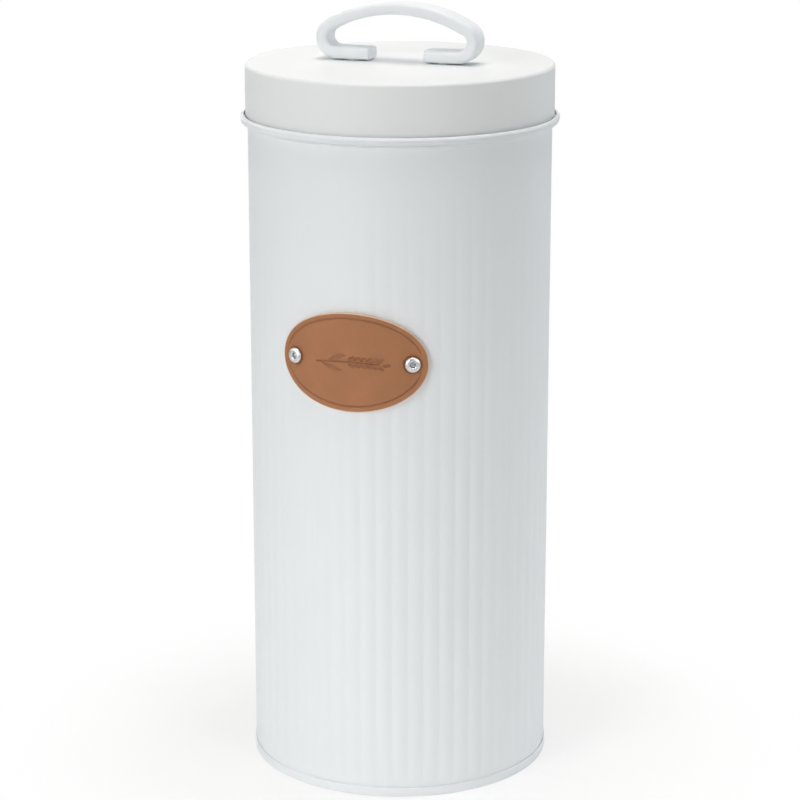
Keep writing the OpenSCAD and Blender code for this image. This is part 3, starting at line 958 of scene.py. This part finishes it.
def build_fixings(s):
    d = derive(s)
    shank_r = s.screw_d / 2
    head_r = s.screw_head_d / 2
    head_top = d.lid_under_z - s.washer_t
    head_foot = head_top - s.screw_head_h
    zinc = material("zinc_plated_steel", formed_metal, s.zinc, roughness=0.34, mark_mm=0.5)
    coat = lid_coating(s)
    pan = rounded(
        [
            (0, head_foot, 0),
            (head_r, head_foot, 0.8),
            (head_r, head_top, 0.12),
            (shank_r, head_top, 0),
            (shank_r, d.foot_z + s.screw_grip, 0.3),
            (0, d.foot_z + s.screw_grip, 0),
        ],
        closed=False,
    )
    for side, word in ((LEFT, "left"), (RIGHT, "right")):
        place = Matrix.Translation((side * s.screw_pitch / 2, 0, 0))
        hole_r = shank_r + s.hole_clear
        spacer = ring_outline(hole_r, s.spacer_d / 2, d.lid_top_z, d.lid_top_z + s.spacer_t, 0.1)
        washer = ring_outline(hole_r, s.washer_d / 2, head_top, d.lid_under_z, 0.12)
        screw = turned("screw_" + word, pan, 64, closed=False, place=place)
        cut_cross(screw, s, place @ Matrix.Translation((0, 0, head_foot)))
        fit_piece(screw, "lid", "fixing_steel", ["handle_screw_" + word], zinc)
        ring = turned("spacer_" + word, spacer, 64, place=place)
        fit_piece(ring, "lid", "handle_coating", ["handle_spacer_" + word], coat)
        ring = turned("washer_" + word, washer, 64, place=place)
        fit_piece(ring, "lid", "fixing_steel", ["handle_washer_" + word], zinc)


# ---- Stage ----


def area_light(name, watts, size, place, aim, tint="#FFFFFF", spread=180):
    data = bpy.data.lights.new(name, "AREA")
    data.shape, data.size, data.size_y = "RECTANGLE", size[0], size[1]
    data.energy = watts
    data.spread = radians(spread)
    data.color = linear(tint)[:3]
    lamp = bpy.data.objects.new(name, data)
    lamp.location = place
    lamp.rotation_euler = (Vector(aim) - Vector(place)).to_track_quat("-Z", "Y").to_euler()
    lamp.visible_camera = False
    bpy.context.scene.collection.objects.link(lamp)
    return lamp


def about(azimuth, distance, height):
    """A place round the object: azimuth 0 is in front, 90 to its right, in degrees."""
    a = radians(azimuth)
    return (distance * sin(a), -distance * cos(a), height)


def build_stage(s):
    scene = bpy.context.scene
    floor_r, inner_r = 7, 0.4
    outline = [Vector((r, 0)) for r in (0, inner_r, floor_r)]
    floor = turned("floor", outline, 96, closed=False)
    paper = bpy.data.materials.new("matt_white_paper")
    paper.use_nodes = True
    tree = paper.node_tree
    tree.nodes.clear()
    place = add(tree, "ShaderNodeTexCoord").outputs["Object"]
    drift = add(tree, "ShaderNodeTexNoise", {"Vector": place, "Scale": across(400)})
    whites = {"Factor": drift.outputs[0], 6: linear(shade(s.floor_white, 0.998)), 7: linear(s.floor_white)}
    paint = add(tree, "ShaderNodeMix", whites, data_type="RGBA").outputs[2]
    matt = add(tree, "ShaderNodeBsdfDiffuse", {"Color": paint})
    glow = add(tree, "ShaderNodeEmission", {"Color": linear("#FFFFFF"), "Strength": 1.0})
    # The floor turns from paper that takes the shadow to plain white away from the object
    away = add(tree, "ShaderNodeVectorMath", {0: place}, operation="LENGTH")
    plain_white = add(
        tree,
        "ShaderNodeMapRange",
        {"Value": away.outputs["Value"], "From Min": 0.06, "From Max": 0.16, "To Min": 0.55},
        interpolation_type="SMOOTHSTEP",
    )
    seen = add(tree, "ShaderNodeLightPath")
    share = add(
        tree,
        "ShaderNodeMath",
        {0: seen.outputs["Is Camera Ray"], 1: plain_white.outputs[0]},
        operation="MULTIPLY",
    )
    both = add(tree, "ShaderNodeMixShader", {0: share.outputs[0], 1: matt.outputs[0], 2: glow.outputs[0]})
    add(tree, "ShaderNodeOutputMaterial", {"Surface": both.outputs[0]})
    floor.data.materials.append(paper)

    world = bpy.data.worlds.new("studio")
    world.use_nodes = True
    scene.world = world
    tree = world.node_tree
    tree.nodes.clear()
    seen = add(tree, "ShaderNodeLightPath")
    soft = add(tree, "ShaderNodeBackground", {"Color": linear("#FFFFFF"), "Strength": s.ambient})
    # Bare metal sees white walls all round except in front, where the room is dim
    way = add(tree, "ShaderNodeTexCoord")
    part = add(tree, "ShaderNodeSeparateXYZ", {"Vector": way.outputs["Generated"]})
    walls = add(
        tree,
        "ShaderNodeMapRange",
        {"Value": part.outputs["Y"], "From Min": -0.95, "From Max": -0.3, "To Min": 0.2},
        interpolation_type="SMOOTHSTEP",
    )
    bright = add(
        tree, "ShaderNodeMath", {0: seen.outputs["Is Camera Ray"], 1: walls.outputs[0]}, operation="MAXIMUM"
    )
    white = add(tree, "ShaderNodeBackground", {"Color": linear("#FFFFFF"), "Strength": bright.outputs[0]})
    rays = {0: seen.outputs["Is Camera Ray"], 1: seen.outputs["Is Glossy Ray"]}
    plain = add(tree, "ShaderNodeMath", rays, operation="MAXIMUM")
    both = add(tree, "ShaderNodeMixShader", {0: plain.outputs[0], 1: soft.outputs[0], 2: white.outputs[0]})
    add(tree, "ShaderNodeOutputWorld", {"Surface": both.outputs[0]})

    middle = (0, 0, 0.14)
    foot = (0, 0, -0.3)
    area_light("key", s.key, (1.0, 1.0), about(-25, 1.7, 0.45), middle)
    area_light("fill", s.fill, (1.0, 1.0), about(20, 1.7, 0.45), middle)
    area_light("left_low", s.left_low, (0.7, 0.7), about(-60, 1.7, 0.9), (0, 0, -0.25), spread=50)
    area_light("key_low", s.key_low, (0.7, 0.7), about(-25, 1.7, 0.9), (0, 0, -0.25), spread=50)
    area_light("fill_low", s.fill_low, (0.7, 0.7), about(60, 1.7, 0.7), foot, spread=50)
    area_light("right_low", s.right_low, (0.4, 1.0), about(105, 1.5, 0.6), foot, "#F4F9FF", 50)
    area_light("rim", s.rim, (0.6, 1.4), about(135, 1.5, 0.6), middle, "#F4F9FF")
    area_light("back", s.back, (1.0, 1.0), about(215, 1.7, 0.45), middle)
    area_light("front", s.front, (1.0, 0.6), (0.1, -0.4, 1.9), middle)
    area_light("top", s.top, (1.2, 1.2), (0, 0.1, 1.9), middle, "#FFFAF6")

    # The view is from a little to the right and above, through a long lens
    azimuth, distance, height, tilt_down = 18, 0.935, 0.393, 14.74
    image_px, focal_px = 800, 2609.6
    data = bpy.data.cameras.new("camera")
    data.sensor_width = 36
    data.lens = data.sensor_width * focal_px / image_px
    data.shift_y = -0.04
    data.clip_start, data.clip_end = 0.05, 50
    camera = bpy.data.objects.new("camera", data)
    camera.location = about(azimuth, distance, height)
    camera.rotation_euler = (radians(90 - tilt_down), 0, radians(azimuth))
    scene.collection.objects.link(camera)
    scene.camera = camera
    scene.view_settings.view_transform = "Standard"


# ---- The add-on ----


class CANISTER_OT_body_wall(bpy.types.Operator):
    """Adds the ribbed body wall with its side seam"""

    bl_idname = "canister.body_wall"
    bl_label = "Body wall"

    def execute(self, context):
        build_body_wall(context.scene.canister)
        return {"FINISHED"}


class CANISTER_OT_neck_collar(bpy.types.Operator):
    """Adds the rolled rim with the neck inside it"""

    bl_idname = "canister.neck_collar"
    bl_label = "Neck and rim"

    def execute(self, context):
        build_neck_collar(context.scene.canister)
        return {"FINISHED"}


class CANISTER_OT_base_pan(bpy.types.Operator):
    """Adds the seamed base pan"""

    bl_idname = "canister.base_pan"
    bl_label = "Base pan"

    def execute(self, context):
        build_base_pan(context.scene.canister)
        return {"FINISHED"}


class CANISTER_OT_label(bpy.types.Operator):
    """Adds the pressed leather label"""

    bl_idname = "canister.label"
    bl_label = "Label"

    def execute(self, context):
        build_label(context.scene.canister)
        return {"FINISHED"}


class CANISTER_OT_rivets(bpy.types.Operator):
    """Adds the two blind rivets and their mandrels"""

    bl_idname = "canister.rivets"
    bl_label = "Rivets"

    def execute(self, context):
        build_rivets(context.scene.canister)
        return {"FINISHED"}


class CANISTER_OT_lid_shell(bpy.types.Operator):
    """Adds the lid's pressed shell"""

    bl_idname = "canister.lid_shell"
    bl_label = "Lid"

    def execute(self, context):
        build_lid_shell(context.scene.canister)
        return {"FINISHED"}


class CANISTER_OT_lid_seal(bpy.types.Operator):
    """Adds the sealing ring under the lid"""

    bl_idname = "canister.lid_seal"
    bl_label = "Seal"

    def execute(self, context):
        build_lid_seal(context.scene.canister)
        return {"FINISHED"}


class CANISTER_OT_handle(bpy.types.Operator):
    """Adds the bent flat-bar handle"""

    bl_idname = "canister.handle"
    bl_label = "Handle"

    def execute(self, context):
        build_handle(context.scene.canister)
        return {"FINISHED"}


class CANISTER_OT_fixings(bpy.types.Operator):
    """Adds the spacers, washers and screws"""

    bl_idname = "canister.fixings"
    bl_label = "Fixings"

    def execute(self, context):
        build_fixings(context.scene.canister)
        return {"FINISHED"}


class CANISTER_OT_stage(bpy.types.Operator):
    """Adds the floor, the lights and the camera"""

    bl_idname = "canister.stage"
    bl_label = "Stage"

    def execute(self, context):
        build_stage(context.scene.canister)
        return {"FINISHED"}


OPERATORS = (
    CANISTER_OT_body_wall,
    CANISTER_OT_neck_collar,
    CANISTER_OT_base_pan,
    CANISTER_OT_label,
    CANISTER_OT_rivets,
    CANISTER_OT_lid_shell,
    CANISTER_OT_lid_seal,
    CANISTER_OT_handle,
    CANISTER_OT_fixings,
    CANISTER_OT_stage,
)


class CANISTER_PT_panel(bpy.types.Panel):
    """Lists the pieces of the canister"""

    bl_label = "Food Canister"
    bl_space_type = "VIEW_3D"
    bl_region_type = "UI"
    bl_category = "Canister"

    def draw(self, context):
        for operator in OPERATORS:
            self.layout.operator(operator.bl_idname)


def register():
    bpy.utils.register_class(CanisterSettings)
    for operator in OPERATORS:
        bpy.utils.register_class(operator)
    bpy.utils.register_class(CANISTER_PT_panel)
    bpy.types.Scene.canister = PointerProperty(type=CanisterSettings)


def unregister():
    del bpy.types.Scene.canister
    bpy.utils.unregister_class(CANISTER_PT_panel)
    for operator in reversed(OPERATORS):
        bpy.utils.unregister_class(operator)
    bpy.utils.unregister_class(CanisterSettings)


def plain(box):
    return [list(corner) for corner in box]


def main():
    register()
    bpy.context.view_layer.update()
    for operator in OPERATORS:
        getattr(bpy.ops.canister, operator.bl_idname.split(".")[1])()


if __name__ == "__main__":
    main()
